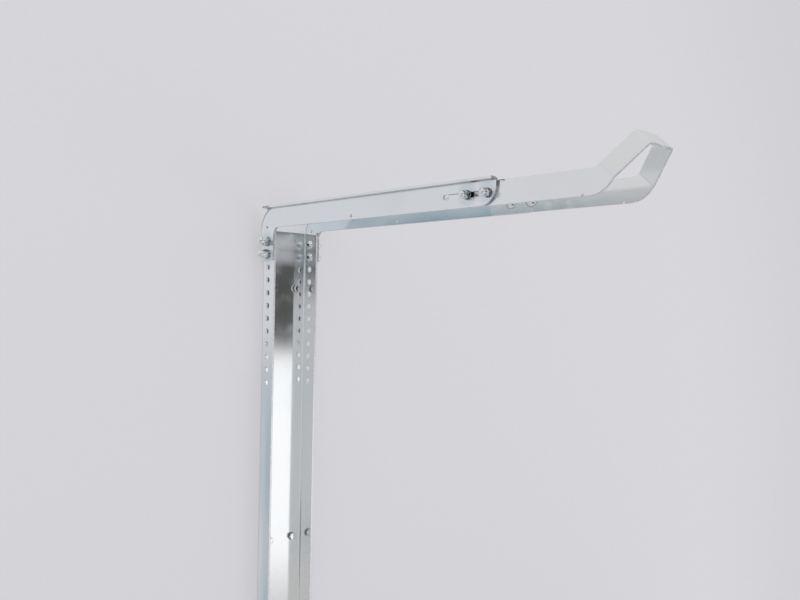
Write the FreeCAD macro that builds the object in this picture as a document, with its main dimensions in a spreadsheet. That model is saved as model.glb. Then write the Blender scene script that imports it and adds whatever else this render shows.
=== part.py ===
# Wall rack for one bicycle, standing upright with its front wheel between two arms.
# A folded channel is screwed to the wall. Two L-shaped arms are bolted to a row of holes in its
# flanges, and a bent strap slides in slots in the arms and catches the tyre at the front.
# Frame: +X out from the wall, +Y to the right of someone facing the wall, +Z up, millimetres.
# The origin lies on the channel's back, midway between the middle pair of wall screws.
import FreeCAD, Part
import math
import os
import types
import Sketcher

SIZES = {
    # Sheet metal
    "sheet_thickness": 3.0,
    "bend_radius": 2.0,
    # Channel, and the holes in it
    "channel_width": 84.0,
    "channel_depth": 32.0,
    "channel_length": 980.0,
    "hole_pitch": 20.0,
    "top_hole_inset": 19.0,
    "arm_hole_diameter": 9.0,
    "wall_hole_diameter": 7.0,
    "wall_hole_spacing": 44.0,
    "wall_row_inset": 90.0,
    # Arms
    "arm_reach": 477.0,
    "arm_height": 33.0,
    "arm_rise": 21.0,
    "arm_fold_width": 12.0,
    "arm_fold_start": 15.0,
    "arm_fold_overhang": 3.0,
    "arm_rear_radius": 34.0,
    "arm_inner_radius": 12.0,
    "arm_front_radius": 24.0,
    "leg_end_margin": 9.0,
    "leg_corner_radius": 4.0,
    "slot_width": 6.6,
    "slot_length": 75.6,
    "slot_front_margin": 9.5,
    "slot_rise": 15.0,
    "hang_hole_diameter": 4.5,
    "hang_hole_margin": 5.0,
    "arm_hang_hole_reach": 217.0,
    "leg_hang_hole_rise": 22.0,
    # Strap
    "strap_play": 0.3,
    "strap_height": 29.5,
    "strap_tail": 33.5,
    "strap_bolt_spacing": 32.0,
    "strap_corner_radius": 4.0,
    "strap_front_radius": 33.0,
    "catch_reach": 150.0,
    "catch_rise": 33.0,
    "catch_angle": 47.8,
    "catch_turn": 21.0,
    "catch_width": 24.0,
    "catch_length": 50.5,
    "catch_stub": 4.0,
    "strap_notch_diameter": 3.5,
    "strap_notch_reach": 130.0,
    "strap_notch_rise": 1.0,
    "neck_hole_width": 6.6,
    # Bolts that hold the arms, with their washers and cap nuts
    "arm_bolt_diameter": 8.0,
    "arm_bolt_head_diameter": 14.0,
    "arm_bolt_head_height": 4.4,
    "arm_bolt_socket_width": 5.0,
    "arm_bolt_socket_depth": 2.6,
    "arm_washer_diameter": 16.0,
    "arm_nut_width": 13.0,
    "arm_nut_hex_height": 6.5,
    "arm_nut_height": 15.0,
    "arm_nut_dome_diameter": 12.5,
    # Bolts that hold the strap, with their washers and cap nuts
    "strap_bolt_diameter": 6.0,
    "strap_bolt_head_diameter": 16.5,
    "strap_bolt_head_height": 3.8,
    "strap_neck_width": 6.4,
    "strap_washer_diameter": 12.0,
    "strap_nut_width": 10.0,
    "strap_nut_hex_height": 5.0,
    "strap_nut_height": 12.0,
    "strap_nut_dome_diameter": 9.5,
    # How far each cap nut is turned on its bolt, and each wall screw beyond the one before it, in degrees
    "upper_arm_nut_turn": 8.0,
    "lower_arm_nut_turn": 21.0,
    "front_strap_nut_turn": 13.0,
    "rear_strap_nut_turn": 30.0,
    "wall_screw_turn": 17.0,
    # Wall screws and their washers
    "wall_screw_diameter": 6.0,
    "wall_screw_depth": 50.0,
    "wall_screw_point": 8.0,
    "wall_screw_neck_diameter": 4.4,
    "wall_screw_neck_depth": 2.0,
    "wall_screw_head_width": 10.0,
    "wall_screw_head_height": 4.0,
    "wall_washer_diameter": 12.0,
    # Shared by all fasteners
    "washer_thickness": 1.6,
    "bore_gap": 0.2,
    "nut_crown": 4.0,
    "nut_tip_gap": 1.0,
}
ARM_HOLES = 12          # holes in each flange for the arms' bolts
WALL_ROWS = 3           # pairs of wall screws, evenly spaced

HEX_SIDES = 6
CHAMFER_SLOPE = math.sqrt(3.0)      # a nut's corners are turned off at 30 degrees
CORNER_SHARE = 0.48                 # radius of a nut's turned face, as a share of its width
Y_AXIS = FreeCAD.Vector(0, 1, 0)
Z_AXIS = FreeCAD.Vector(0, 0, 1)

doc = FreeCAD.newDocument("bike_rack")
sheet = doc.addObject("Spreadsheet::Sheet", "sizes")
nodes = []


class Dim:
    """A length or angle: its number, and the sheet expression that gives it."""

    def __init__(self, value, text):
        self.value = value
        self.text = text

    def __add__(self, other):
        return joined(self, "+", other, self.value + number(other))

    def __sub__(self, other):
        return joined(self, "-", other, self.value - number(other))

    def __mul__(self, other):
        return joined(self, "*", other, self.value * number(other))

    def __truediv__(self, other):
        return joined(self, "/", other, self.value / number(other))

    def __neg__(self):
        return Dim(-self.value, "(-%s)" % self.text)


def number(item):
    return item.value if isinstance(item, Dim) else float(item)


def text(item):
    return item.text if isinstance(item, Dim) else "%.9g" % item


def joined(left, sign, right, value):
    return Dim(value, "(%s %s %s)" % (text(left), sign, text(right)))


def cosine(angle):
    return Dim(math.cos(math.radians(angle.value)), "cos(%s)" % angle.text)


def sine(angle):
    return Dim(math.sin(math.radians(angle.value)), "sin(%s)" % angle.text)


def root(item):
    return Dim(math.sqrt(item.value), "sqrt(%s)" % item.text)


def arcsine(item):
    return Dim(math.degrees(math.asin(item.value)), "asin(%s)" % item.text)


for row, (alias, value) in enumerate(SIZES.items(), start=1):
    sheet.set("A%d" % row, alias)
    sheet.set("B%d" % row, str(value))
    sheet.setAlias("B%d" % row, alias)
doc.recompute()
size = types.SimpleNamespace(**{alias: Dim(value, "sizes." + alias) for alias, value in SIZES.items()})

# Places that several pieces share
half_width = size.channel_width / 2
arm_inner_face = half_width
arm_outer_face = half_width + size.sheet_thickness
strap_outer_face = half_width - size.strap_play
strap_inner_face = strap_outer_face - size.sheet_thickness
flange_inner_face = half_width - size.sheet_thickness
hole_reach = size.channel_depth / 2
upper_bolt_height = size.channel_length / 2 - size.top_hole_inset
lower_bolt_height = upper_bolt_height - size.hole_pitch
arm_bottom = upper_bolt_height + size.arm_rise
slot_height = arm_bottom + size.slot_rise
slot_front = size.arm_reach - size.slot_front_margin
slot_rear = slot_front - size.slot_length
front_bolt_reach = slot_front - size.slot_width / 2
rear_bolt_reach = front_bolt_reach - size.strap_bolt_spacing
wall_row_height = size.channel_length / 2 - size.wall_row_inset


def bind(item, name, value):
    """Set a property, and tie it to the sheet where its value comes from there."""
    setattr(item, name, number(value))
    if isinstance(value, Dim):
        item.setExpression(name, value.text)


def place(item, rotation, spot):
    """Turn an item, and tie its place to the sheet."""
    item.Placement = FreeCAD.Placement(FreeCAD.Vector(*[number(part) for part in spot]), rotation)
    for axis, part in zip("xyz", spot):
        if isinstance(part, Dim):
            item.setExpression("Placement.Base." + axis, part.text)


def origin_feature(body, role):
    return [item for item in body.Origin.OriginFeatures if item.Role == role][0]


def new_body(label):
    body = doc.addObject("PartDesign::Body", label)
    body.Label = label
    nodes.append(body)
    return body


def new_sketch(body, name, role, offset=0.0):
    """A sketch on one of the body's origin planes, moved along that plane's normal."""
    sketch = body.newObject("Sketcher::SketchObject", name)
    sketch.AttachmentSupport = [(origin_feature(body, role), "")]
    sketch.MapMode = "FlatFace"
    sketch.AttachmentOffset = FreeCAD.Placement(
        FreeCAD.Vector(0, 0, number(offset)), FreeCAD.Rotation())
    if isinstance(offset, Dim):
        sketch.setExpression("AttachmentOffset.Base.z", offset.text)
    return sketch


def fix_point(sketch, geometry, point, spot):
    """Hold a point of the sketch at a place given by sheet expressions."""
    for kind, axis, part in zip(("DistanceX", "DistanceY"), (-2, -1), spot):
        if number(part) == 0.0:
            sketch.addConstraint(Sketcher.Constraint("PointOnObject", geometry, point, axis))
            continue
        index = sketch.addConstraint(
            Sketcher.Constraint(kind, -1, 1, geometry, point, number(part)))
        if isinstance(part, Dim):
            sketch.setExpression("Constraints[%d]" % index, part.text)


def fix_radius(sketch, geometry, radius):
    index = sketch.addConstraint(Sketcher.Constraint("Radius", geometry, number(radius)))
    if isinstance(radius, Dim):
        sketch.setExpression("Constraints[%d]" % index, radius.text)


def vector(spot):
    return FreeCAD.Vector(number(spot[0]), number(spot[1]), 0)


def outline(sketch, path):
    """Draw a closed outline. Each entry is a point, or a point with the centre and radius of the
    arc that runs from it to the next point by the shorter way."""
    count = len(path)
    starts = []
    for index, entry in enumerate(path):
        here = vector(entry)
        there = vector(path[(index + 1) % count])
        if len(entry) == 2:
            geometry = sketch.addGeometry(Part.LineSegment(here, there), False)
            starts.append((geometry, 1, 2))
            continue
        centre = vector(entry[2])
        first = math.atan2(here.y - centre.y, here.x - centre.x)
        last = math.atan2(there.y - centre.y, there.x - centre.x)
        forward = (last - first) % (2 * math.pi) < math.pi
        circle = Part.Circle(centre, Z_AXIS, number(entry[3]))
        ends = (first, last) if forward else (last, first)
        geometry = sketch.addGeometry(Part.ArcOfCircle(circle, *ends), False)
        starts.append((geometry, 1, 2) if forward else (geometry, 2, 1))
    for index, entry in enumerate(path):
        geometry, start, end = starts[index]
        following, next_start, _ = starts[(index + 1) % count]
        sketch.addConstraint(Sketcher.Constraint("Coincident", geometry, end, following, next_start))
        fix_point(sketch, geometry, start, entry[:2])
    for index, entry in enumerate(path):
        if len(entry) > 2:
            fix_radius(sketch, starts[index][0], entry[3])


def round_hole(sketch, spot, diameter):
    circle = Part.Circle(vector(spot), Z_AXIS, number(diameter) / 2)
    geometry = sketch.addGeometry(circle, False)
    fix_point(sketch, geometry, 3, spot)
    fix_radius(sketch, geometry, diameter / 2)


def square_hole(sketch, spot, width):
    half = width / 2
    outline(sketch, [
        (spot[0] - half, spot[1] - half),
        (spot[0] + half, spot[1] - half),
        (spot[0] + half, spot[1] + half),
        (spot[0] - half, spot[1] + half),
    ])


def add_pad(body, sketch, name, length):
    pad = body.newObject("PartDesign::Pad", name)
    pad.Profile = sketch
    bind(pad, "Length", length)
    body.Tip = pad
    doc.recompute()
    return pad


def add_through_pocket(body, sketch, name):
    """A pocket through everything on both sides of its sketch."""
    pocket = body.newObject("PartDesign::Pocket", name)
    pocket.Profile = sketch
    pocket.Type = "ThroughAll"
    pocket.Midplane = True
    body.Tip = pocket
    doc.recompute()
    return pocket


def add_pattern(body, feature, name, role, length, count):
    pattern = body.newObject("PartDesign::LinearPattern", name)
    pattern.Originals = [feature]
    pattern.Direction = (origin_feature(body, role), [""])
    bind(pattern, "Length", length)
    pattern.Occurrences = count
    body.Tip = pattern
    doc.recompute()
    return pattern


def add_fillet(body, base, name, edges, radius):
    fillet = body.newObject("PartDesign::Fillet", name)
    fillet.Base = (base, edges)
    bind(fillet, "Radius", radius)
    body.Tip = fillet
    doc.recompute()
    return fillet


def build_channel():
    """The upright: a U of folded sheet, open to the front, holed for the arms and the wall."""
    body = new_body("upright_channel")
    inner = size.bend_radius
    outer = inner + size.sheet_thickness
    inside = size.sheet_thickness + inner
    side = half_width - outer
    front = size.channel_depth
    section = new_sketch(body, "channel_section", "XY_Plane", -(size.channel_length / 2))
    outline(section, [
        (front, -half_width),
        (front, -flange_inner_face),
        (inside, -flange_inner_face, (inside, -side), inner),
        (size.sheet_thickness, -side),
        (size.sheet_thickness, side, (inside, side), inner),
        (inside, flange_inner_face),
        (front, flange_inner_face),
        (front, half_width),
        (outer, half_width, (outer, side), outer),
        (0.0, side),
        (0.0, -side, (outer, -side), outer),
        (outer, -half_width),
    ])
    add_pad(body, section, "channel_pad", size.channel_length)

    arm_hole = new_sketch(body, "arm_hole", "XZ_Plane")
    lowest = upper_bolt_height - size.hole_pitch * (ARM_HOLES - 1)
    round_hole(arm_hole, (hole_reach, lowest), size.arm_hole_diameter)
    pocket = add_through_pocket(body, arm_hole, "arm_hole_pocket")
    add_pattern(body, pocket, "arm_hole_row", "Z_Axis", size.hole_pitch * (ARM_HOLES - 1), ARM_HOLES)

    wall_holes = new_sketch(body, "wall_holes", "YZ_Plane")
    for side_sign in (-1, 1):
        spot = (size.wall_hole_spacing * (side_sign / 2), -wall_row_height)
        round_hole(wall_holes, spot, size.wall_hole_diameter)
    pocket = add_through_pocket(body, wall_holes, "wall_hole_pocket")
    add_pattern(body, pocket, "wall_hole_rows", "Z_Axis", wall_row_height * 2, WALL_ROWS)


def build_arm(label, side_sign):
    """An L-shaped plate on the outside of one flange, with its top edge folded outwards."""
    body = new_body(label)
    thick = size.sheet_thickness
    bend = size.bend_radius + thick
    arm_top = arm_bottom + size.arm_height
    fold_root = arm_top - bend
    leg_bottom = lower_bolt_height - size.leg_end_margin
    leg_width = size.channel_depth
    rear = size.arm_rear_radius
    plate_start = size.arm_fold_start + size.arm_fold_overhang
    rear_run = rear - plate_start
    rear_centre = fold_root - root(rear * rear - rear_run * rear_run)
    front = size.arm_front_radius
    inner = size.arm_inner_radius
    corner = size.leg_corner_radius
    slot_half = size.slot_width / 2

    # The plate lies between its inner and outer faces, on the side that the sign gives
    near_face = arm_outer_face if side_sign > 0 else -arm_inner_face
    plate = new_sketch(body, label + "_plate", "XZ_Plane", -near_face)
    outline(plate, [
        (0.0, leg_bottom),
        (leg_width - corner, leg_bottom, (leg_width - corner, leg_bottom + corner), corner),
        (leg_width, leg_bottom + corner),
        (leg_width, arm_bottom - inner, (leg_width + inner, arm_bottom - inner), inner),
        (leg_width + inner, arm_bottom),
        (size.arm_reach - front, arm_bottom, (size.arm_reach - front, arm_bottom + front), front),
        (size.arm_reach, arm_bottom + front),
        (size.arm_reach, fold_root),
        (plate_start, fold_root, (rear, rear_centre), rear),
        (0.0, rear_centre),
    ])
    slot_start = slot_rear + slot_half
    slot_end = slot_front - slot_half
    slot_low = slot_height - slot_half
    slot_top = slot_height + slot_half
    # Each end of the slot is drawn as two quarter arcs
    outline(plate, [
        (slot_start, slot_low),
        (slot_end, slot_low, (slot_end, slot_height), slot_half),
        (slot_front, slot_height, (slot_end, slot_height), slot_half),
        (slot_end, slot_top),
        (slot_start, slot_top, (slot_start, slot_height), slot_half),
        (slot_rear, slot_height, (slot_start, slot_height), slot_half),
    ])
    for height in (upper_bolt_height, lower_bolt_height):
        round_hole(plate, (hole_reach, height), size.arm_hole_diameter)
    round_hole(plate, (hole_reach, upper_bolt_height + size.leg_hang_hole_rise), size.hang_hole_diameter)
    arm_hang_hole = (size.arm_hang_hole_reach, arm_bottom + size.hang_hole_margin)
    round_hole(plate, arm_hang_hole, size.hang_hole_diameter)
    add_pad(body, plate, label + "_plate_pad", thick)

    # The fold: a quarter bend and a flange, along the straight part of the top edge
    sign = float(side_sign)
    bend_centre = (arm_outer_face + size.bend_radius) * sign
    fold_edge = (arm_inner_face + size.arm_fold_width) * sign
    fold = new_sketch(body, label + "_fold", "YZ_Plane", size.arm_fold_start)
    outline(fold, [
        (arm_inner_face * sign, fold_root, (bend_centre, fold_root), bend),
        (bend_centre, arm_top),
        (fold_edge, arm_top),
        (fold_edge, arm_top - thick),
        (bend_centre, arm_top - thick, (bend_centre, fold_root), size.bend_radius),
        (arm_outer_face * sign, fold_root),
    ])
    add_pad(body, fold, label + "_fold_pad", size.arm_reach - size.arm_fold_start)


def edges_through(shape, points, direction):
    """Names of the straight edges that run in a direction through any of the points."""
    names = []
    for index, edge in enumerate(shape.Edges, start=1):
        if edge.Curve.TypeId != "Part::GeomLine":
            continue
        if edge.Curve.Direction.cross(direction).Length > 1e-6:
            continue
        near = [point for point in points if edge.Curve.toShape().distToShape(Part.Vertex(point))[0] < 1e-3]
        if near:
            names.append("Edge%d" % index)
    return names


def build_strap():
    """The strap: one bent strip, with a plate inside each arm and a narrow catch in front."""
    body = new_body("wheel_strap")
    thick = size.sheet_thickness
    turn = size.catch_turn
    along = (cosine(size.catch_angle), sine(size.catch_angle))
    # Both ends of the line where the strip turns inwards
    top = (front_bolt_reach + size.catch_reach, arm_bottom + size.catch_rise)
    low = (top[0] + along[1] * size.catch_width, top[1] - along[0] * size.catch_width)

    # The catch, drawn as a bent strip seen along its bend lines, then given the strip's width
    depth = size.catch_length * cosine(turn)
    nose = strap_outer_face - size.catch_length * sine(turn)
    inner_bend = -(thick * sine(turn) / (cosine(turn) + 1))
    inner_nose = nose - thick * (-sine(turn) + 1) / cosine(turn)
    outer_corners = [(0.0, -strap_outer_face), (depth, -nose), (depth, nose), (0.0, strap_outer_face)]
    inner_corners = [
        (inner_bend, strap_inner_face),
        (depth - thick, inner_nose),
        (depth - thick, -inner_nose),
        (inner_bend, -strap_inner_face),
    ]
    strip = new_sketch(body, "catch_strip", "XY_Plane")
    strip.AttachmentOffset = FreeCAD.Placement(
        FreeCAD.Vector(number(low[0]), 0, number(low[1])),
        FreeCAD.Rotation(-Y_AXIS, size.catch_angle.value))
    strip.setExpression("AttachmentOffset.Base.x", low[0].text)
    strip.setExpression("AttachmentOffset.Base.z", low[1].text)
    strip.setExpression("AttachmentOffset.Rotation.Angle", size.catch_angle.text)
    stub = -size.catch_stub
    outline(strip, [(stub, -strap_inner_face), (stub, -strap_outer_face)] + outer_corners
            + [(stub, strap_outer_face), (stub, strap_inner_face)] + inner_corners)
    catch = add_pad(body, strip, "catch_pad", size.catch_width)
    width_direction = strip.Placement.Rotation.multVec(Z_AXIS)
    for name, corners, radius in (
            ("catch_outer_bends", outer_corners, size.bend_radius + thick),
            ("catch_inner_bends", inner_corners, size.bend_radius)):
        points = [strip.Placement.multVec(vector(corner)) for corner in corners]
        edges = edges_through(catch.Shape, points, width_direction)
        catch = add_fillet(body, catch, name, edges, radius)

    # The plate inside each arm, from its tail to just behind the catch's first bend
    bottom = arm_bottom
    plate_top = bottom + size.strap_height
    tail = rear_bolt_reach - size.strap_tail
    corner = size.strap_corner_radius
    front = size.strap_front_radius
    low_stub = (low[0] - along[0] * size.catch_stub, low[1] - along[1] * size.catch_stub)
    top_stub = (top[0] - along[0] * size.catch_stub, top[1] - along[1] * size.catch_stub)
    kink = top_stub[0] - (top_stub[1] - plate_top) * along[0] / along[1]
    front_rise = low_stub[1] - bottom
    front_start = low_stub[0] - root(front * front_rise * 2 - front_rise * front_rise)
    for label, near_face in (("left", -strap_inner_face), ("right", strap_outer_face)):
        plate = new_sketch(body, label + "_strap_plate", "XZ_Plane", -near_face)
        outline(plate, [
            (tail + corner, bottom),
            (front_start, bottom, (front_start, bottom + front), front),
            low_stub,
            top_stub,
            (kink, plate_top),
            (tail + corner, plate_top, (tail + corner, plate_top - corner), corner),
            (tail, plate_top - corner),
            (tail, bottom + corner, (tail + corner, bottom + corner), corner),
        ])
        for reach in (front_bolt_reach, rear_bolt_reach):
            square_hole(plate, (reach, slot_height), size.neck_hole_width)
        add_pad(body, plate, label + "_strap_plate_pad", thick)

    notch = new_sketch(body, "strap_notch", "XZ_Plane")
    spot = (front_bolt_reach + size.strap_notch_reach, bottom + size.strap_notch_rise)
    round_hole(notch, spot, size.strap_notch_diameter)
    add_through_pocket(body, notch, "strap_notch_pocket")


def solid(kind, name, height=0.0, **sizes):
    """One of the simple solids, standing on its own axis at a height."""
    item = doc.addObject("Part::" + kind, name)
    for key, value in sizes.items():
        bind(item, key, value)
    place(item, FreeCAD.Rotation(), (0.0, 0.0, height))
    return item


def hexagon(name, width, thickness, height=0.0, turn=0.0):
    """A hexagonal prism on its own axis, with a corner along X until it is turned."""
    item = solid("Prism", name, height, Circumradius=width / math.sqrt(3.0), Height=thickness)
    item.Polygon = HEX_SIDES
    item.Placement.Rotation = FreeCAD.Rotation(Z_AXIS, number(turn))
    if isinstance(turn, Dim):
        item.setExpression("Placement.Rotation.Angle", turn.text)
    return item


def boolean(kind, name, base, tool):
    item = doc.addObject("Part::" + kind, name)
    item.Base = base
    item.Tool = tool
    return item


def fused(name, items):
    item = doc.addObject("Part::MultiFuse", name)
    item.Shapes = items
    item.Refine = True
    return item


def add_node(item, label, rotation, spot):
    item.Label = label
    place(item, rotation, spot)
    nodes.append(item)


def round_head(name, diameter, height):
    """A domed bolt head whose flat underside lies at height zero, with the dome below it."""
    half = diameter / 2
    ball = (half * half + height * height) / (height * 2)
    dome = solid("Sphere", name, ball - height, Radius=ball, Angle1=-90.0,
                 Angle2=-arcsine((ball - height) / ball))
    return dome


def make_washer(label, rotation, spot, diameter, bolt_diameter):
    disc = solid("Cylinder", label + "_disc", Radius=diameter / 2, Height=size.washer_thickness)
    bore = solid("Cylinder", label + "_bore", Radius=bolt_diameter / 2 + size.bore_gap,
                 Height=size.washer_thickness)
    add_node(boolean("Cut", label, disc, bore), label, rotation, spot)


def make_cap_nut(label, rotation, spot, turn, width, hex_height, height, dome_diameter, bolt_diameter):
    """A hexagon nut with a closed dome, standing on its bearing face."""
    prism = hexagon(label + "_hexagon", width, hex_height, turn=turn)
    turned = solid("Cone", label + "_turned", Radius1=width * CORNER_SHARE + hex_height * CHAMFER_SLOPE,
                   Radius2=width * CORNER_SHARE, Height=hex_height)
    base = boolean("Common", label + "_base", prism, turned)
    dome_radius = dome_diameter / 2
    neck = solid("Cylinder", label + "_neck", Radius=dome_radius, Height=height - dome_radius)
    dome = solid("Sphere", label + "_dome", height - dome_radius, Radius=dome_radius)
    whole = fused(label + "_whole", [base, neck, dome])
    bore = solid("Cylinder", label + "_bore", Radius=bolt_diameter / 2 + size.bore_gap,
                 Height=height - size.nut_crown)
    add_node(boolean("Cut", label, whole, bore), label, rotation, spot)


def build_arm_fasteners(side, sign):
    """Two bolts through a flange and its arm: heads in the channel, cap nuts outside."""
    outward = FreeCAD.Rotation(Z_AXIS, FreeCAD.Vector(0, sign, 0))
    stack = size.sheet_thickness * 2 + size.washer_thickness
    length = stack + size.arm_nut_height - size.nut_crown - size.nut_tip_gap
    for level, height, turn in (("upper", upper_bolt_height, size.upper_arm_nut_turn),
                                ("lower", lower_bolt_height, size.lower_arm_nut_turn)):
        label = "%s_arm_%s_" % (side, level)
        head = round_head(label + "head", size.arm_bolt_head_diameter, size.arm_bolt_head_height)
        shank = solid("Cylinder", label + "shank", Radius=size.arm_bolt_diameter / 2, Height=length)
        socket = hexagon(label + "socket", size.arm_bolt_socket_width, size.arm_bolt_socket_depth,
                         -size.arm_bolt_head_height)
        bolt = boolean("Cut", label + "bolt", fused(label + "blank", [head, shank]), socket)
        add_node(bolt, label + "bolt", outward, (hole_reach, flange_inner_face * sign, height))
        make_washer(label + "washer", outward, (hole_reach, arm_outer_face * sign, height),
                    size.arm_washer_diameter, size.arm_bolt_diameter)
        nut_face = (arm_outer_face + size.washer_thickness) * sign
        make_cap_nut(label + "nut", outward, (hole_reach, nut_face, height), turn,
                     size.arm_nut_width, size.arm_nut_hex_height, size.arm_nut_height,
                     size.arm_nut_dome_diameter, size.arm_bolt_diameter)


def build_strap_fasteners(side, sign):
    """Two square-necked bolts through the strap and an arm's slot, with cap nuts outside."""
    outward = FreeCAD.Rotation(Z_AXIS, FreeCAD.Vector(0, sign, 0))
    stack = size.sheet_thickness * 2 + size.strap_play + size.washer_thickness
    length = stack + size.strap_nut_height - size.nut_crown - size.nut_tip_gap
    half_neck = size.strap_neck_width / 2
    for level, reach, turn in (("front", front_bolt_reach, size.front_strap_nut_turn),
                               ("rear", rear_bolt_reach, size.rear_strap_nut_turn)):
        label = "%s_strap_%s_" % (side, level)
        head = round_head(label + "head", size.strap_bolt_head_diameter, size.strap_bolt_head_height)
        shank = solid("Cylinder", label + "shank", Radius=size.strap_bolt_diameter / 2, Height=length)
        neck = solid("Box", label + "neck", Length=size.strap_neck_width, Width=size.strap_neck_width,
                     Height=size.sheet_thickness)
        place(neck, FreeCAD.Rotation(), (-half_neck, -half_neck, 0.0))
        bolt = fused(label + "bolt", [head, neck, shank])
        add_node(bolt, label + "bolt", outward, (reach, strap_inner_face * sign, slot_height))
        make_washer(label + "washer", outward, (reach, arm_outer_face * sign, slot_height),
                    size.strap_washer_diameter, size.strap_bolt_diameter)
        nut_face = (arm_outer_face + size.washer_thickness) * sign
        make_cap_nut(label + "nut", outward, (reach, nut_face, slot_height), turn,
                     size.strap_nut_width, size.strap_nut_hex_height, size.strap_nut_height,
                     size.strap_nut_dome_diameter, size.strap_bolt_diameter)


def build_wall_fasteners(side, sign):
    """One hexagon-headed screw with a washer in each row, through the web into the wall."""
    inward = FreeCAD.Rotation(Z_AXIS, FreeCAD.Vector(-1, 0, 0))
    width = size.wall_screw_head_width
    head_height = size.wall_screw_head_height
    half = size.wall_screw_diameter / 2
    length = size.washer_thickness + size.sheet_thickness + size.wall_screw_depth
    neck_length = size.washer_thickness + size.sheet_thickness + size.wall_screw_neck_depth
    across = size.wall_hole_spacing * (sign / 2)
    for index, level in enumerate(("bottom", "middle", "top")):
        label = "%s_%s_wall_" % (level, side)
        height = wall_row_height * (index - 1)
        turn = size.wall_screw_turn * (index * sign)
        prism = hexagon(label + "hexagon", width, head_height, -head_height, turn)
        turned = solid("Cone", label + "turned", -head_height, Radius1=width * CORNER_SHARE,
                       Radius2=width * CORNER_SHARE + head_height * CHAMFER_SLOPE, Height=head_height)
        head = boolean("Common", label + "head", prism, turned)
        neck = solid("Cylinder", label + "neck", Radius=size.wall_screw_neck_diameter / 2, Height=neck_length)
        shank = solid("Cylinder", label + "shank", neck_length, Radius=half,
                      Height=length - size.wall_screw_point - neck_length)
        point = solid("Cone", label + "point", length - size.wall_screw_point, Radius1=half,
                      Radius2=half / 6, Height=size.wall_screw_point)
        screw = fused(label + "screw", [head, neck, shank, point])
        add_node(screw, label + "screw", inward,
                 (size.sheet_thickness + size.washer_thickness, across, height))
        make_washer(label + "washer", inward, (size.sheet_thickness + size.washer_thickness, across, height),
                    size.wall_washer_diameter, size.wall_screw_diameter)


def check_and_save():
    """Stop on anything that did not build, then save each node as its own file."""
    for item in doc.Objects:
        if "Invalid" in item.State or "Error" in item.State:
            raise RuntimeError("%s did not build: %s" % (item.Label, item.State))
    os.makedirs("parts", exist_ok=True)
    for node in nodes:
        shape = node.Shape
        if shape.isNull() or not shape.isValid() or len(shape.Solids) != 1:
            raise RuntimeError("%s is not one sound solid" % node.Label)
        shape.exportStep("parts/%s.step" % node.Label)
        print("%-28s %10.1f mm3" % (node.Label, shape.Volume))


build_channel()
for side, sign in (("left", -1), ("right", 1)):
    build_arm(side + "_arm", sign)
build_strap()
for side, sign in (("left", -1), ("right", 1)):
    build_arm_fasteners(side, sign)
    build_strap_fasteners(side, sign)
    build_wall_fasteners(side, sign)
doc.recompute()
check_and_save()
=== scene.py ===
import math

import bmesh
import bpy
from mathutils import Matrix, Vector


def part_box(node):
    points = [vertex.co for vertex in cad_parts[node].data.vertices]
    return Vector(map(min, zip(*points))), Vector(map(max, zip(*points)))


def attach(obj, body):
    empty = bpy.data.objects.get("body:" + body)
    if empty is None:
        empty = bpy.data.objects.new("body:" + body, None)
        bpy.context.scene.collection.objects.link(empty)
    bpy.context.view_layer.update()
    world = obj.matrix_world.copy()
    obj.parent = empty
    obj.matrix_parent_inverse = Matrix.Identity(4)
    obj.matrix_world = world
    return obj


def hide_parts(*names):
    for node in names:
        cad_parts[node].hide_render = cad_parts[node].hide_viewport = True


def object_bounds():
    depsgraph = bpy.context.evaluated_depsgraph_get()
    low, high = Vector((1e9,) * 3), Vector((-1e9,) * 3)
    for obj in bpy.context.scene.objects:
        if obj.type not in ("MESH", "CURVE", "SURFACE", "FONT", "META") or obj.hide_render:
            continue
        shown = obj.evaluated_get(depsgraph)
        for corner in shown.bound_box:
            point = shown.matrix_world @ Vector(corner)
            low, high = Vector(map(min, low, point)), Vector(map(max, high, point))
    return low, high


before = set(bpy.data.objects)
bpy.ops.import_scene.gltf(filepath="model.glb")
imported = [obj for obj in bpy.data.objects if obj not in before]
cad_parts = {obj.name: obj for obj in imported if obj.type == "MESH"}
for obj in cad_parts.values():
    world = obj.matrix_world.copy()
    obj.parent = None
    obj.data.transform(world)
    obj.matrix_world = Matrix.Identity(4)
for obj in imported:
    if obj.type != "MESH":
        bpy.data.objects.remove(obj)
cad_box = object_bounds()

MM = 0.001
X_AXIS = Vector((1, 0, 0))
Y_AXIS = Vector((0, 1, 0))
Z_AXIS = Vector((0, 0, 1))
EVERY_WAY = (1, 1, 1)

# Camera: where it stands, where it looks, and its lens on a 36 mm wide sensor
CAMERA_PLACE = Vector((1.1129, -0.8047, 0.3654))
CAMERA_YAW = math.radians(136.29)
CAMERA_PITCH = math.radians(0.7794)
CAMERA_ROLL = math.radians(-0.9860)
CAMERA_LENS = 38.08
SENSOR_WIDTH = 36.0

# Zinc plate, as linear colours: warm white to the blue of clear passivation, painted shade, on the
# fasteners, and painted shade in their crevices
ZINC_WARM = (0.882, 0.888, 0.868)
ZINC_PLAIN = (0.845, 0.872, 0.875)
ZINC_BLUE = (0.700, 0.785, 0.820)
ZINC_STEEL = (0.500, 0.625, 0.700)
ZINC_SHADE = (0.430, 0.445, 0.455)
ZINC_BOLT = (0.860, 0.866, 0.860)
ZINC_BOLT_DULL = (0.620, 0.635, 0.645)
ZINC_CREVICE_SHADE = (0.060, 0.072, 0.082)

# Cut edges of the sheet, each from the dark to the light of its streaks
ARM_CUT = ((0.400, 0.410, 0.420), (0.680, 0.685, 0.690))
CHANNEL_CUT = ((0.680, 0.684, 0.688), (0.860, 0.862, 0.864))
STRAP_CUT = ((0.520, 0.528, 0.536), (0.740, 0.745, 0.750))

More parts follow.
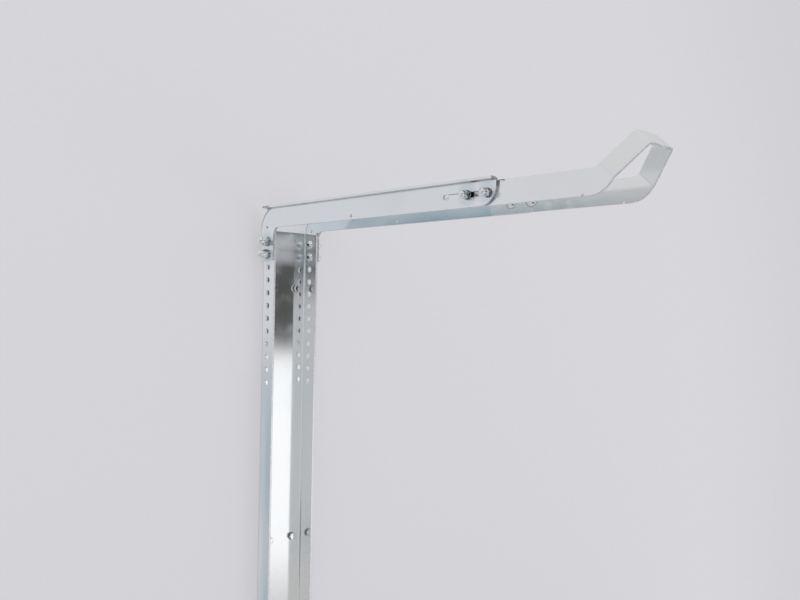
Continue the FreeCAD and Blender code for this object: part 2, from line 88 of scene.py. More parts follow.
# Features to the metre in the zinc's patterns: every way, along and across the rolling, or on X, Y and Z
CLOUDS_PER_METRE = 6
SMUDGES_PER_METRE = 30
PEBBLES_PER_METRE = 450
GRAIN_PER_METRE = (4, 800)
LINES_PER_METRE = (2, 90)
SHEAR_PER_METRE = (1100, 90, 1100)

# Levels of those patterns: what the clouds are spread over, and where one look gives way to the next
CLOUD_LEVELS = (0.30, 0.74)
STEEL_TO_BLUE = (0.14, 0.34)
BLUE_TO_PLAIN = (0.34, 0.50)
PLAIN_TO_WARM = (0.52, 0.68)
SMUDGE_LEVELS = (0.48, 0.68)
SHEAR_LEVELS = (0.40, 0.62)

# Scratches: the level of the lines where they run, and how far from it they start and are deepest
SCRATCH_LEVEL = 0.5
SCRATCH_SPREAD = (0.006, 0.0)

# How much bluer a sheet is than the clouds alone make it: all over, near the bolts, and along the grain
CHANNEL_BLUENESS = 0.04
LEFT_ARM_BLUENESS = 0.02
# The right arm's extra blueness also darkens it, as painted shade.
RIGHT_ARM_BLUENESS_AND_SHADE = 0.23
STRAP_BLUENESS = -0.06
HANDLED_BLUENESS = 0.17
HANDLED_REACH = (24.0 * MM, 7.0 * MM)
GRAIN_BLUENESS = 0.16

# Roughness of the sheet over its grain, and what smudges, hands and cutting add to it
SHEET_ROUGHNESS = (0.08, 0.14)
SMUDGE_ROUGHNESS = 0.04
HANDLED_ROUGHNESS = 0.16
CUT_ROUGHNESS = 0.20

# Relief of the sheet: how much of the bump each pattern makes up
GRAIN_RELIEF = 0.7
PEBBLE_RELIEF = 0.2
SCRATCH_RELIEF = 0.3
SHEAR_RELIEF = 2.5

# Bumps and rounded edges, of the sheet and of the fasteners
BUMP_HEIGHT = 0.1 * MM
SHEET_BUMP = 0.10
FASTENER_BUMP = 0.12
EDGE_SAMPLES = 6
SHEET_EDGE_RADIUS = 0.5 * MM
FASTENER_EDGE_RADIUS = 0.25 * MM

# Fasteners: their patches, pebbles and roughness
PATCHES_PER_METRE = 240
PATCH_LEVELS = (0.46, 0.72)
FINE_PEBBLES_PER_METRE = 900
FASTENER_ROUGHNESS = (0.05, 0.16)

# Painted shade in the fasteners' crevices. A pair is how open a place is where the shade starts, and
# where it is darkest.
CREVICE_SHADE_WIDE = (0.92, 0.52)
CREVICE_SHADE_NARROW = (0.80, 0.45)
CREVICE_REACH = 4.0 * MM
CREVICE_SAMPLES = 8
CREVICE_ROUGHNESS = 0.2

# Sheet metal, as in the CAD
BEND_OUTSIDE = 5.0 * MM
CATCH_ANGLE = math.radians(47.8)
REAR_RADIUS = 34.0 * MM
REAR_DROP = 35.0 * MM

# Cut edges: how squarely a surface faces a direction where a face gives way to an edge
FACE_TO_EDGE = (0.6, 0.3)
END_FACING = (0.4, 0.7)
FOLD_FACING = (0.1, 0.3)
CROSS_FACING = (0.5, 0.8)

# Cut edges: where the channel's flanges, the arms' folds and the strap's cross plate start
FLANGE_START = (BEND_OUTSIDE + 0.5 * MM, BEND_OUTSIDE + 1.5 * MM)
FOLD_CUT_MARGIN = 0.1 * MM
CROSS_MARGINS = (3 * BEND_OUTSIDE, 2.5 * BEND_OUTSIDE)

# Painted shade on the sheet: under the fold, round the arms' rear corners, by the heads and on the bends
FOLD_SHADE_STRENGTH = 0.55
FOLD_SHADE_MARGIN = 0.5 * MM
UNDERSIDE_RISE = (-0.2, -0.7)
REAR_RIM = (3.2 * MM, 1.8 * MM)
REAR_RIM_END = (36.0 * MM, 28.0 * MM)
REAR_RIM_FADE = (-8.0 * MM, 24.0 * MM)
REAR_RIM_LEAST = 0.25
REAR_RIM_RISE = (0.6, 0.3)
HEAD_RING = (1.2 * MM, 0.2 * MM)
BEND_LINE = (5.5 * MM, 3.0 * MM)

# The channel's blue outsides, half way up and towards the front, and its warm inside
SKIN_DEPTH = 1.0 * MM
SKIN_FADE = 0.5 * MM
BLUE_BAND_FADE = (330.0 * MM, 130.0 * MM)
BLUE_BAND_DEPTH = (6.0 * MM, 26.0 * MM)
BLUE_BAND_LEAST = 0.25
BLUE_BAND_BLUENESS = 0.25
INSIDE_WARMTH = 0.14

# Wall screws, with the thread that the CAD leaves as a plain shank
SCREW_HEAD_WIDTH = 10.0 * MM
SCREW_HEAD_HEIGHT = 4.0 * MM
SCREW_FACE_SHARE = 0.48
SCREW_CHAMFER = math.radians(30)
SCREW_TURN = math.radians(17.0)
SCREW_CORE_RADIUS = 2.2 * MM
SCREW_TIP_RADIUS = 0.3 * MM
POINT_LENGTH = 8.0 * MM
THREAD_START = -2.0 * MM
THREAD_RADIUS = 3.0 * MM
THREAD_PITCH = 2.6 * MM
THREAD_WIDTH = 1.5 * MM
THREAD_ROOT_SHARE = 0.97
THREAD_LEAST_SHARE = 0.12
THREAD_RUN_IN_TURNS = 0.5
STEPS_PER_TURN = 30
HEAD_FLATS = 6
STEPS_PER_FLAT = 10
SHARP_ANGLE = math.radians(28)

# Studio. A fade is the distances from the middle between which a thing turns clear.
BACKDROP = (0.640, 0.634, 0.662)
OVERHEAD = (0.730, 0.730, 0.730)
OVERHEAD_RISE = (0.30, 0.75)
LIGHT_LEVEL = 0.85
DISC_SIDES = 96
FLOOR_COLOUR = (0.690, 0.684, 0.712)
FLOOR_RADIUS = 1.8
FLOOR_FADE = (0.6, 1.6)
WALL_COLOUR = (0.740, 0.734, 0.762)
WALL_GLOW = 0.55
WALL_GLOW_COLOUR = (0.705, 0.699, 0.728)
WALL_GAP = 0.3 * MM
WALL_RADIUS = 2.6
WALL_FADE = (1.3, 2.5)
CARD_BLACK = (0.02, 0.02, 0.02)
CARD_DARK = (0.07, 0.07, 0.07)
CARD_GREY = (0.20, 0.20, 0.20)
CARD_FADE = (0.6, 1.0)

# Power of a light panel for each square metre, at a brightness of 1
PANEL_POWER = 4

# Light panels: the place of each, what it faces, its width and height, and how bright a mirror shows it
MIDDLE = (0.2, 0.0, 0.3)
PANELS = (
    ("key_panel", (1.9, -1.9, 2.0), MIDDLE, 1.4, 1.2, 0.22),
    ("side_panel", (2.1, 1.5, -0.3), (0.2, 0.0, -0.1), 1.4, 1.4, 0.37),
    ("wall_panel", (-1.8, -1.6, 1.1), MIDDLE, 3.4, 1.8, 0.06),
    ("top_panel", (-0.2, 0.3, 2.4), MIDDLE, 1.6, 1.6, 0.22),
)

# Dark cards: the place of each, what it faces, its width and height, and its colour
CARDS = (
    ("front_card", (1.75, -1.35, 0.95), (0.4, 0.0, 0.5), 1.6, 1.2, CARD_BLACK),
    ("side_card", (2.0, 1.45, 0.42), (0.0, 0.0, 0.4), 0.8, 0.6, CARD_DARK),
    ("low_card", (0.7, -1.3, -0.40), (0.7, -1.3, 1.0), 1.5, 1.2, CARD_GREY),
)

# Sockets of the colour mix node, which share their names with others
MIX_FIRST = 6
MIX_SECOND = 7
MIX_RESULT = 2


class Shader:
    """A node tree with one short call for each kind of node that the materials use."""

    def __init__(self, name):
        self.material = bpy.data.materials.new(name)
        self.material.use_nodes = True
        self.tree = self.material.node_tree
        self.surface = self.tree.nodes["Principled BSDF"]
        place = self.tree.nodes.new("ShaderNodeTexCoord")
        self.point = place.outputs["Object"]
        self.normal = place.outputs["Normal"]

    def add(self, kind, inputs, **settings):
        node = self.tree.nodes.new(kind)
        for name, value in settings.items():
            setattr(node, name, value)
        for socket, value in inputs.items():
            self.feed(node, socket, value)
        return node

    def feed(self, node, socket, value):
        if isinstance(value, bpy.types.NodeSocket):
            self.tree.links.new(value, node.inputs[socket])
        else:
            node.inputs[socket].default_value = value

    def maths(self, operation, first, second=0.0):
        return self.add("ShaderNodeMath", {0: first, 1: second}, operation=operation).outputs[0]

    def times(self, first, second):
        return self.maths("MULTIPLY", first, second)

    def plus(self, first, second):
        return self.maths("ADD", first, second)

    def less(self, first, second):
        return self.maths("SUBTRACT", first, second)

    def other(self, share):
        return self.less(1.0, share)

    def magnitude(self, value):
        return self.maths("ABSOLUTE", value)

    def most(self, first, second):
        return self.maths("MAXIMUM", first, second)

    def step(self, value, low, high):
        """0 at low and 1 at high, smooth in between."""
        inputs = {"Value": value, "From Min": low, "From Max": high}
        return self.add("ShaderNodeMapRange", inputs, interpolation_type="SMOOTHSTEP").outputs[0]

    def span(self, value, low, high):
        """A value from 0 to 1, spread from low to high."""
        inputs = {"Value": value, "To Min": low, "To Max": high}
        return self.add("ShaderNodeMapRange", inputs).outputs[0]

    def blend(self, share, first, second):
        """From the first colour to the second, as the share grows from 0 to 1."""
        node = self.add("ShaderNodeMix", {0: share}, data_type="RGBA")
        for socket, colour in ((MIX_FIRST, first), (MIX_SECOND, second)):
            self.feed(node, socket, colour if isinstance(colour, bpy.types.NodeSocket) else (*colour, 1))
        return node.outputs[MIX_RESULT]

    def noise(self, scales, detail=2.0, shift=0.0):
        """Noise with so many features to the metre along X, Y and Z."""
        inputs = {"Vector": self.point, "Scale": scales, "Location": (shift, shift, shift)}
        mapped = self.add("ShaderNodeMapping", inputs).outputs[0]
        settings = {"Vector": mapped, "Scale": 1.0, "Detail": detail}
        return self.add("ShaderNodeTexNoise", settings).outputs[0]

    def vector(self, operation, first, second=(0, 0, 0)):
        """A sum on vectors that gives a vector."""
        inputs = {0: first, 1: second}
        return self.add("ShaderNodeVectorMath", inputs, operation=operation).outputs["Vector"]

    def measure(self, operation, first, second=(0, 0, 0)):
        """A sum on vectors that gives a number."""
        inputs = {0: first, 1: second}
        return self.add("ShaderNodeVectorMath", inputs, operation=operation).outputs["Value"]

    def facing(self, direction):
        """1 where the surface faces along a direction or against it, and 0 where it lies along it."""
        return self.magnitude(self.measure("DOT_PRODUCT", self.normal, direction))

    def rise(self):
        """1 where the surface faces straight up, and -1 where it faces straight down."""
        return self.measure("DOT_PRODUCT", self.normal, Z_AXIS)

    def reach(self, direction):
        """How far out a point lies along a direction, in metres."""
        return self.measure("DOT_PRODUCT", self.point, direction)

    def beside(self, nodes):
        """How far a point lies from the nearest of some fasteners' axes, all along Y, in metres."""
        flat = self.vector("MULTIPLY", self.point, (1, 0, 1))
        found = None
        for node in nodes:
            low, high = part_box(node)
            centre = ((low.x + high.x) / 2, 0, (low.z + high.z) / 2)
            distance = self.measure("DISTANCE", flat, centre)
            found = self.maths("MINIMUM", found, distance) if found else distance
        return found

    def make_metal(self, colour, roughness, relief, bump, edge_radius):
        """Metal of some colour, roughness and relief, whose edges look rounded."""
        rounded = self.add("ShaderNodeBevel", {"Radius": edge_radius}, samples=EDGE_SAMPLES).outputs[0]
        inputs = {"Strength": bump, "Distance": BUMP_HEIGHT, "Height": relief, "Normal": rounded}
        self.feed(self.surface, "Base Color", colour)
        self.feed(self.surface, "Roughness", roughness)
        self.feed(self.surface, "Metallic", 1.0)
        self.feed(self.surface, "Normal", self.add("ShaderNodeBump", inputs).outputs[0])
        return self.material


def channel_cut(shader):
    """Where the channel's sheet shows its cut edge: flange fronts, both ends and the holes."""
    on_flange = shader.step(shader.reach(X_AXIS), *FLANGE_START)
    flange_edge = shader.times(on_flange, shader.step(shader.facing(Y_AXIS), *FACE_TO_EDGE))
    return shader.most(flange_edge, shader.step(shader.facing(Z_AXIS), *END_FACING))


def in_fold(shader, margin):
    """1 in an arm's folded top, from its bottom up, and 0 more than a margin below that."""
    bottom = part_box("left_arm")[1].z - BEND_OUTSIDE
    return shader.step(shader.reach(Z_AXIS), bottom - margin, bottom)


def arm_cut(shader):
    """Where an arm's plate shows its cut edge, which leaves out the two faces of its folded top."""
    fold_face = shader.step(shader.facing(Z_AXIS), *FOLD_FACING)
    fold_face = shader.times(in_fold(shader, FOLD_CUT_MARGIN), fold_face)
    return shader.times(shader.step(shader.facing(Y_AXIS), *FACE_TO_EDGE), shader.other(fold_face))


def strap_cut(shader):
    """Where the strap shows its cut edge, which leaves out the two faces of its cross plate."""
    along = Vector((math.cos(CATCH_ANGLE), 0, math.sin(CATCH_ANGLE)))
    across = Vector((-math.sin(CATCH_ANGLE), 0, math.cos(CATCH_ANGLE)))
    end = max(v.co.dot(along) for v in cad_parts["wheel_strap"].data.vertices)
    in_cross = shader.step(shader.reach(along), *[end - margin for margin in CROSS_MARGINS])
    cross_edge = shader.times(in_cross, shader.step(shader.facing(across), *CROSS_FACING))
    plate_edge = shader.step(shader.facing(Y_AXIS), *FACE_TO_EDGE)
    return shader.plus(cross_edge, shader.times(shader.other(in_cross), plate_edge))


def fold_shade(shader):
    """Painted shade on the underside of an arm's folded top."""
    fold_painted_shade = shader.times(in_fold(shader, FOLD_SHADE_MARGIN), FOLD_SHADE_STRENGTH)
    return shader.times(fold_painted_shade, shader.step(shader.rise(), *UNDERSIDE_RISE))


def rear_shade(shader):
    """Painted shade along the rim of an arm's plate round its rear corner, and on the tip of the fold
    above it.

    It fades out below the corner and leaves out the fold's top.
    """
    corner = (REAR_RADIUS, 0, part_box("left_arm")[1].z - REAR_DROP)
    offset = shader.vector("SUBTRACT", shader.point, corner)
    back_and_up = shader.vector("MULTIPLY", offset, (-1, 0, 1))
    beyond = shader.vector("MAXIMUM", back_and_up)
    inset = shader.less(REAR_RADIUS, shader.measure("LENGTH", beyond))
    rim = shader.times(shader.step(inset, *REAR_RIM), shader.step(shader.reach(X_AXIS), *REAR_RIM_END))
    height = shader.measure("DOT_PRODUCT", offset, Z_AXIS)
    strength = shader.span(shader.step(height, *REAR_RIM_FADE), REAR_RIM_LEAST, 1.0)
    return shader.times(shader.times(rim, strength), shader.step(shader.rise(), *REAR_RIM_RISE))


def arm_shade(shader):
    return shader.most(fold_shade(shader), rear_shade(shader))


def head_shade(shader):
    """A ring of painted shade on the strap round each bolt's head."""
    low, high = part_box("left_strap_front_bolt")
    head_radius = (high.z - low.z) / 2
    away = shader.beside(["left_strap_front_bolt", "left_strap_rear_bolt"])
    return shader.step(away, *[head_radius + width for width in HEAD_RING])


def flange_outside(shader):
    """The outer skin of the channel's flanges, with the bends behind them."""
    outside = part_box("upright_channel")[1].y - SKIN_DEPTH
    return shader.step(shader.magnitude(shader.reach(Y_AXIS)), outside - SKIN_FADE, outside)


def bend_shade(shader):
    """A line of painted shade along the outsides of the channel's bends, by the wall."""
    return shader.times(flange_outside(shader), shader.step(shader.reach(X_AXIS), *BEND_LINE))


def same_clouds(shader, clouds):
    return clouds


def blue_band(shader, clouds):
    """Clouds that turn blue half way up the outsides of the channel's flanges, and warm inside it.

    The blue grows from the wall to the flanges' front edges.
    """
    band = shader.step(shader.magnitude(shader.reach(Z_AXIS)), *BLUE_BAND_FADE)
    depth = shader.span(shader.step(shader.reach(X_AXIS), *BLUE_BAND_DEPTH), BLUE_BAND_LEAST, 1.0)
    on_outside = flange_outside(shader)
    blue = shader.times(shader.times(band, depth), on_outside)
    banded = shader.less(clouds, shader.times(blue, BLUE_BAND_BLUENESS))
    return shader.plus(banded, shader.times(shader.other(on_outside), INSIDE_WARMTH))


def rolled_noise(shader, rolled, per_metre, detail, shift):
    """Noise with its first count of features along the axis of the rolling, and its second across it."""
    along, across = per_metre
    return shader.noise([along if part else across for part in rolled], detail, shift)


def zinc_sheet(name, rolled, find_cut, cut_colours, bolts, blueness, find_clouds, find_shade):
    """Bright zinc plate on sheet rolled along an axis, bluer in clouds and by the bolts.

    find_clouds says what becomes of the clouds, find_cut where the cut edge shows, and find_shade where
    shade is painted into the colour.
    """
    shader = Shader(name)
    clouds = shader.span(shader.noise([CLOUDS_PER_METRE] * 3), *CLOUD_LEVELS)
    clouds = find_clouds(shader, shader.less(clouds, blueness))
    handled = shader.step(shader.beside(bolts), *HANDLED_REACH)
    clouds = shader.less(clouds, shader.times(handled, HANDLED_BLUENESS))
    grain = rolled_noise(shader, rolled, GRAIN_PER_METRE, detail=3.0, shift=2.0)
    smudges = shader.noise([SMUDGES_PER_METRE] * 3, detail=5.0, shift=5.0)
    smudges = shader.step(smudges, *SMUDGE_LEVELS)
    pebbles = shader.noise([PEBBLES_PER_METRE] * 3)
    lines = rolled_noise(shader, rolled, LINES_PER_METRE, detail=1.0, shift=9.0)
    off_level = shader.magnitude(shader.less(lines, SCRATCH_LEVEL))
    scratches = shader.step(off_level, *SCRATCH_SPREAD)
    cut = find_cut(shader)
    shear = shader.noise(SHEAR_PER_METRE, detail=3.0, shift=4.0)

    cool = shader.blend(shader.step(clouds, *STEEL_TO_BLUE), ZINC_STEEL, ZINC_BLUE)
    plain = shader.blend(shader.step(clouds, *BLUE_TO_PLAIN), cool, ZINC_PLAIN)
    plate = shader.blend(shader.step(clouds, *PLAIN_TO_WARM), plain, ZINC_WARM)
    streaked = shader.blend(shader.times(grain, GRAIN_BLUENESS), plate, ZINC_BLUE)
    edge = shader.blend(shader.step(shear, *SHEAR_LEVELS), *cut_colours)
    shaded = shader.blend(find_shade(shader), streaked, ZINC_SHADE)
    colour = shader.blend(cut, shaded, edge)

    rough = shader.span(grain, *SHEET_ROUGHNESS)
    for share, more in ((smudges, SMUDGE_ROUGHNESS), (handled, HANDLED_ROUGHNESS), (cut, CUT_ROUGHNESS)):
        rough = shader.plus(rough, shader.times(share, more))

    relief = shader.plus(shader.times(grain, GRAIN_RELIEF), shader.times(pebbles, PEBBLE_RELIEF))
    relief = shader.less(relief, shader.times(scratches, SCRATCH_RELIEF))
    relief = shader.plus(relief, shader.times(cut, shader.times(shear, SHEAR_RELIEF)))
    return shader.make_metal(colour, rough, relief, SHEET_BUMP, SHEET_EDGE_RADIUS)


def zinc_fastener(name, crevice_shade_fade):
    """Glossier zinc on turned and pressed fasteners, duller in patches, with painted shade in the
    crevices.
    """
    shader = Shader(name)
    patches = shader.step(shader.noise([PATCHES_PER_METRE] * 3, detail=4.0), *PATCH_LEVELS)
    pebbles = shader.noise([FINE_PEBBLES_PER_METRE] * 3, shift=3.0)
    reach = {"Distance": CREVICE_REACH}
    openness = shader.add("ShaderNodeAmbientOcclusion", reach, samples=CREVICE_SAMPLES).outputs["AO"]
    painted_crevice_shade = shader.step(openness, *crevice_shade_fade)
    plate = shader.blend(patches, ZINC_BOLT, ZINC_BOLT_DULL)
    colour = shader.blend(painted_crevice_shade, plate, ZINC_CREVICE_SHADE)
    rough = shader.span(patches, *FASTENER_ROUGHNESS)
    rough = shader.plus(rough, shader.times(painted_crevice_shade, CREVICE_ROUGHNESS))
    return shader.make_metal(colour, rough, pebbles, FASTENER_BUMP, FASTENER_EDGE_RADIUS)


def ring(mesh, points):
    """A ring of points round the X axis, each given as its place along X, its radius and its angle."""
    return [mesh.verts.new((x, r * math.cos(a), r * math.sin(a))) for x, r, a in points]


def round_ring(mesh, x, radius, count):
    return ring(mesh, [(x, radius, 2 * math.pi * k / count) for k in range(count)])


def bridge(mesh, first, second):
    for k in range(len(first)):
        following = (k + 1) % len(first)
        mesh.faces.new((first[k], first[following], second[following], second[k]))


def hexagon_head(mesh, under, top):
    """A hexagonal head with its corners turned off."""
    half = SCREW_HEAD_WIDTH / 2
    face_radius = SCREW_HEAD_WIDTH * SCREW_FACE_SHARE
    slope = math.tan(SCREW_CHAMFER)
    flat_angle = 2 * math.pi / HEAD_FLATS
    outline = []
    for k in range(HEAD_FLATS * STEPS_PER_FLAT):
        angle = flat_angle * k / STEPS_PER_FLAT
        radius = half / math.cos(angle % flat_angle - flat_angle / 2)
        outline.append((radius, angle + flat_angle / 2))
    lower = ring(mesh, [(under, r, a) for r, a in outline])
    upper = ring(mesh, [(top - (r - face_radius) * slope, r, a) for r, a in outline])
    face = ring(mesh, [(top, face_radius, a) for r, a in outline])
    bridge(mesh, lower, upper)
    bridge(mesh, upper, face)
    mesh.faces.new(lower)
    mesh.faces.new(face)


def thread_ridge(mesh, start, end):
    """A closed V-shaped ridge wound round the shank from start back to end, dying out at both ends."""
    profiles = []
    for k in range(int((start - end) / THREAD_PITCH * STEPS_PER_TURN) + 1):
        turn = k / STEPS_PER_TURN
        angle = 2 * math.pi * turn
        x = start - THREAD_PITCH * turn
        taper = max(THREAD_LEAST_SHARE, min(1.0, (x - end) / POINT_LENGTH))
        root = SCREW_CORE_RADIUS * taper * THREAD_ROOT_SHARE
        crest = root + (THREAD_RADIUS * taper - root) * min(1.0, turn / THREAD_RUN_IN_TURNS)
        half = THREAD_WIDTH / 2 * taper
        profile = [(x + half, root, angle), (x, crest, angle), (x - half, root, angle)]
        profiles.append(ring(mesh, profile))
    for first, second in zip(profiles, profiles[1:]):
        bridge(mesh, first, second)
    mesh.faces.new(profiles[0])
    mesh.faces.new(profiles[-1])


def wall_screw_mesh():
    """The mesh of a wall screw on the X axis, as long as the screws in the CAD."""
    low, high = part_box("middle_left_wall_screw")
    mesh = bmesh.new()
    hexagon_head(mesh, high.x - SCREW_HEAD_HEIGHT, high.x)
    rings = [
        round_ring(mesh, high.x - SCREW_HEAD_HEIGHT / 2, SCREW_CORE_RADIUS, STEPS_PER_TURN),
        round_ring(mesh, low.x + POINT_LENGTH, SCREW_CORE_RADIUS, STEPS_PER_TURN),
        round_ring(mesh, low.x, SCREW_TIP_RADIUS, STEPS_PER_TURN),
    ]
    bridge(mesh, rings[0], rings[1])
    bridge(mesh, rings[1], rings[2])
    mesh.faces.new(rings[0])
    mesh.faces.new(rings[2])
    thread_ridge(mesh, THREAD_START, low.x + THREAD_WIDTH)
    bmesh.ops.recalc_face_normals(mesh, faces=mesh.faces)
    data = bpy.data.meshes.new("wall_screw")
    mesh.to_mesh(data)
    mesh.free()
    data.shade_smooth()
    data.set_sharp_from_angle(angle=SHARP_ANGLE)
    return data


def add_wall_screws(material):
    """A threaded screw in the place of each plain one."""
    data = wall_screw_mesh()
    data.materials.append(material)
    for side, sign in (("left", -1), ("right", 1)):
        for index, level in enumerate(("bottom", "middle", "top")):
            name = f"{level}_{side}_wall_screw"
            low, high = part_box(name)
            screw = bpy.data.objects.new(name + "_threaded", data)
            screw.location = (0, (low.y + high.y) / 2, (low.z + high.z) / 2)
            screw.rotation_euler = (-SCREW_TURN * index * sign, 0, 0)
            bpy.context.scene.collection.objects.link(screw)
            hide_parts(name)
            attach(screw, "rack")


def dress_frame():
    """A material for each CAD node that stays. The arms' own fasteners get less painted shade in their
    crevices than the others.
    """
    arm_bolts = ["left_arm_upper_nut", "left_arm_lower_nut"]
    strap_bolts = ["left_strap_front_nut", "left_strap_rear_nut"]
    bolts = arm_bolts + strap_bolts
    sheets = {
        "upright_channel": zinc_sheet(
            "zinc_channel", Z_AXIS, channel_cut, CHANNEL_CUT, arm_bolts,
            CHANNEL_BLUENESS, blue_band, bend_shade),
        "left_arm": zinc_sheet(
            "zinc_left_arm", X_AXIS, arm_cut, ARM_CUT, bolts,
            LEFT_ARM_BLUENESS, same_clouds, arm_shade),
        "right_arm": zinc_sheet(
            "zinc_right_arm", X_AXIS, arm_cut, ARM_CUT, bolts,
            RIGHT_ARM_BLUENESS_AND_SHADE, same_clouds, arm_shade),
        "wheel_strap": zinc_sheet(
            "zinc_strap", X_AXIS, strap_cut, STRAP_CUT, strap_bolts,
            STRAP_BLUENESS, same_clouds, head_shade),
    }
    wide_shade = zinc_fastener("zinc_fastener", CREVICE_SHADE_WIDE)
    narrow_shade = zinc_fastener("zinc_fastener_narrow_shade", CREVICE_SHADE_NARROW)
    for name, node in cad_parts.items():
        fastener = narrow_shade if "_arm_" in name else wide_shade
        for slot in node.material_slots:
            slot.material = sheets.get(name, fastener)
    add_wall_screws(wide_shade)


def stage_object(name, mesh, place):
    data = bpy.data.meshes.new(name)
    mesh.to_mesh(data)
    mesh.free()
    item = bpy.data.objects.new(name, data)
    item.location = place
    bpy.context.scene.collection.objects.link(item)
    return item


def fading_matt(name, colour, distance_scale, fade, glow=0.0, glow_colour=None, one_sided=False):
    """A matt colour that turns clear with the distance from the middle, and from behind if one-sided.

    A share of it may glow, which lightens the shadows on it.
    """
    shader = Shader(name)
    tree = shader.tree
    tree.nodes.remove(shader.surface)
    matt = shader.add("ShaderNodeBsdfDiffuse", {"Color": (*colour, 1)})
    clear = shader.add("ShaderNodeBsdfTransparent", {})
    distance = shader.measure("LENGTH", shader.vector("MULTIPLY", shader.point, distance_scale))
    share = shader.step(distance, *fade)
    if one_sided:
        share = shader.most(share, shader.add("ShaderNodeNewGeometry", {}).outputs["Backfacing"])
    if glow:
        lit = shader.add("ShaderNodeEmission", {"Color": (*glow_colour, 1)})
        matt = shader.add("ShaderNodeMixShader", {0: glow, 1: matt.outputs[0], 2: lit.outputs[0]})
    mixed = shader.add("ShaderNodeMixShader", {0: share, 1: matt.outputs[0], 2: clear.outputs[0]})
    tree.links.new(mixed.outputs[0], tree.nodes["Material Output"].inputs["Surface"])
    return shader.material


def add_disc(name, radius, place, material):
    mesh = bmesh.new()
    bmesh.ops.create_circle(mesh, cap_ends=True, segments=DISC_SIDES, radius=radius)
    disc = stage_object(name, mesh, place)
    disc.data.materials.append(material)
    return disc


def add_floor():
    """A round pale floor under the rack, which fades out into the backdrop."""
    matt = fading_matt("studio_floor", FLOOR_COLOUR, EVERY_WAY, FLOOR_FADE)
    centre = (cad_box[0] + cad_box[1]) / 2
    add_disc("studio_floor", FLOOR_RADIUS, (centre.x, centre.y, cad_box[0].z), matt)


def add_wall():
    """A pale wall just behind the rack, seen from the front only, which shades nothing itself."""
    matt = fading_matt(
        "studio_wall", WALL_COLOUR, EVERY_WAY, WALL_FADE, WALL_GLOW, WALL_GLOW_COLOUR, one_sided=True)
    centre = (cad_box[0] + cad_box[1]) / 2
    wall = add_disc("studio_wall", WALL_RADIUS, (-WALL_GAP, centre.y, centre.z), matt)
    wall.rotation_euler = (0, math.pi / 2, 0)
    wall.visible_diffuse = False
    wall.visible_glossy = False
    wall.visible_transmission = False
    wall.visible_shadow = False


def add_world():
    """An even light all round. The backdrop is what the camera, and the metal, see of it."""
    world = bpy.data.worlds.new("studio")
    world.use_nodes = True
    tree = world.node_tree
    light = tree.nodes["Background"]
    light.inputs["Color"].default_value = (LIGHT_LEVEL, LIGHT_LEVEL, LIGHT_LEVEL, 1)
    backdrop = tree.nodes.new("ShaderNodeBackground")
    sky = tree.nodes.new("ShaderNodeTexCoord")
    height = tree.nodes.new("ShaderNodeSeparateXYZ")
    tree.links.new(sky.outputs["Generated"], height.inputs[0])
    rise = tree.nodes.new("ShaderNodeMapRange")
    rise.interpolation_type = "SMOOTHSTEP"
    rise.inputs["From Min"].default_value, rise.inputs["From Max"].default_value = OVERHEAD_RISE
    tree.links.new(height.outputs["Z"], rise.inputs["Value"])
    gradient = tree.nodes.new("ShaderNodeMix")
    gradient.data_type = "RGBA"
    gradient.inputs[MIX_FIRST].default_value = (*BACKDROP, 1)
    gradient.inputs[MIX_SECOND].default_value = (*OVERHEAD, 1)
    tree.links.new(rise.outputs[0], gradient.inputs[0])
    tree.links.new(gradient.outputs[MIX_RESULT], backdrop.inputs["Color"])
    rays = tree.nodes.new("ShaderNodeLightPath")
    seen = rays.outputs["Is Camera Ray"]
    for kind in ("Is Glossy Ray", "Is Transmission Ray"):
        either = tree.nodes.new("ShaderNodeMath")
        either.operation = "MAXIMUM"
        tree.links.new(seen, either.inputs[0])
        tree.links.new(rays.outputs[kind], either.inputs[1])
        seen = either.outputs[0]
    mixed = tree.nodes.new("ShaderNodeMixShader")
    tree.links.new(seen, mixed.inputs[0])
    tree.links.new(light.outputs[0], mixed.inputs[1])
    tree.links.new(backdrop.outputs[0], mixed.inputs[2])
    tree.links.new(mixed.outputs[0], tree.nodes["World Output"].inputs["Surface"])
    bpy.context.scene.world = world


def aim(item, target):
    item.rotation_euler = (Vector(target) - item.location).to_track_quat("-Z", "Y").to_euler()


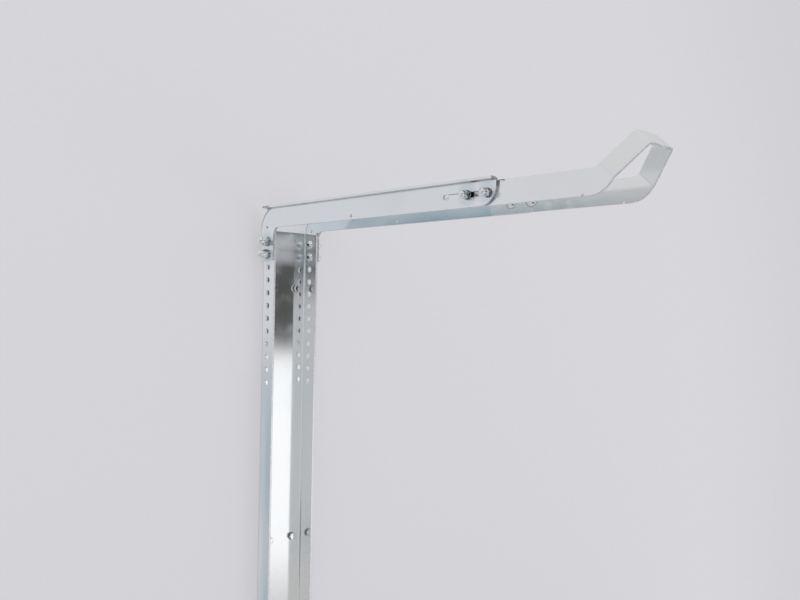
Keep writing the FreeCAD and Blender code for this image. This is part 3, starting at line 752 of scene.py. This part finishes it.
def add_panel(name, place, target, width, height, brightness):
    """A soft light panel that faces a target. Its brightness is what a mirror shows of it."""
    lamp = bpy.data.lights.new(name, "AREA")
    lamp.shape = "RECTANGLE"
    lamp.size = width
    lamp.size_y = height
    lamp.energy = brightness * PANEL_POWER * width * height
    panel = bpy.data.objects.new(name, lamp)
    panel.location = place
    panel.visible_camera = False
    aim(panel, target)
    bpy.context.scene.collection.objects.link(panel)


def add_card(name, place, target, width, height, colour):
    """A dark card with soft edges, out of sight, for the bright metal to reflect."""
    mesh = bmesh.new()
    bmesh.ops.create_grid(mesh, x_segments=1, y_segments=1, size=0.5)
    bmesh.ops.scale(mesh, vec=(width, height, 1), verts=mesh.verts)
    card = stage_object(name, mesh, place)
    aim(card, target)
    one_at_edges = (2 / width, 2 / height, 0)
    card.data.materials.append(fading_matt(name, colour, one_at_edges, CARD_FADE))
    card.visible_camera = False
    card.visible_diffuse = False
    card.visible_shadow = False


def add_lights():
    add_world()
    for panel in PANELS:
        add_panel(*panel)
    for card in CARDS:
        add_card(*card)


def add_camera():
    """A camera whose axes come from its yaw, pitch and roll."""
    forward = Vector((
        math.cos(CAMERA_PITCH) * math.cos(CAMERA_YAW),
        math.cos(CAMERA_PITCH) * math.sin(CAMERA_YAW),
        math.sin(CAMERA_PITCH),
    ))
    level = Vector((math.sin(CAMERA_YAW), -math.cos(CAMERA_YAW), 0))
    upright = level.cross(forward)
    right = level * math.cos(CAMERA_ROLL) - upright * math.sin(CAMERA_ROLL)
    up = level * math.sin(CAMERA_ROLL) + upright * math.cos(CAMERA_ROLL)
    data = bpy.data.cameras.new("camera")
    data.lens = CAMERA_LENS
    data.sensor_width = SENSOR_WIDTH
    data.sensor_fit = "HORIZONTAL"
    camera = bpy.data.objects.new("camera", data)
    axes = Matrix((right, up, -forward)).transposed().to_4x4()
    camera.matrix_world = Matrix.Translation(CAMERA_PLACE) @ axes
    bpy.context.scene.collection.objects.link(camera)
    bpy.context.scene.camera = camera


dress_frame()
add_floor()
add_wall()
add_lights()
add_camera()
bpy.context.scene.view_settings.view_transform = "Standard"
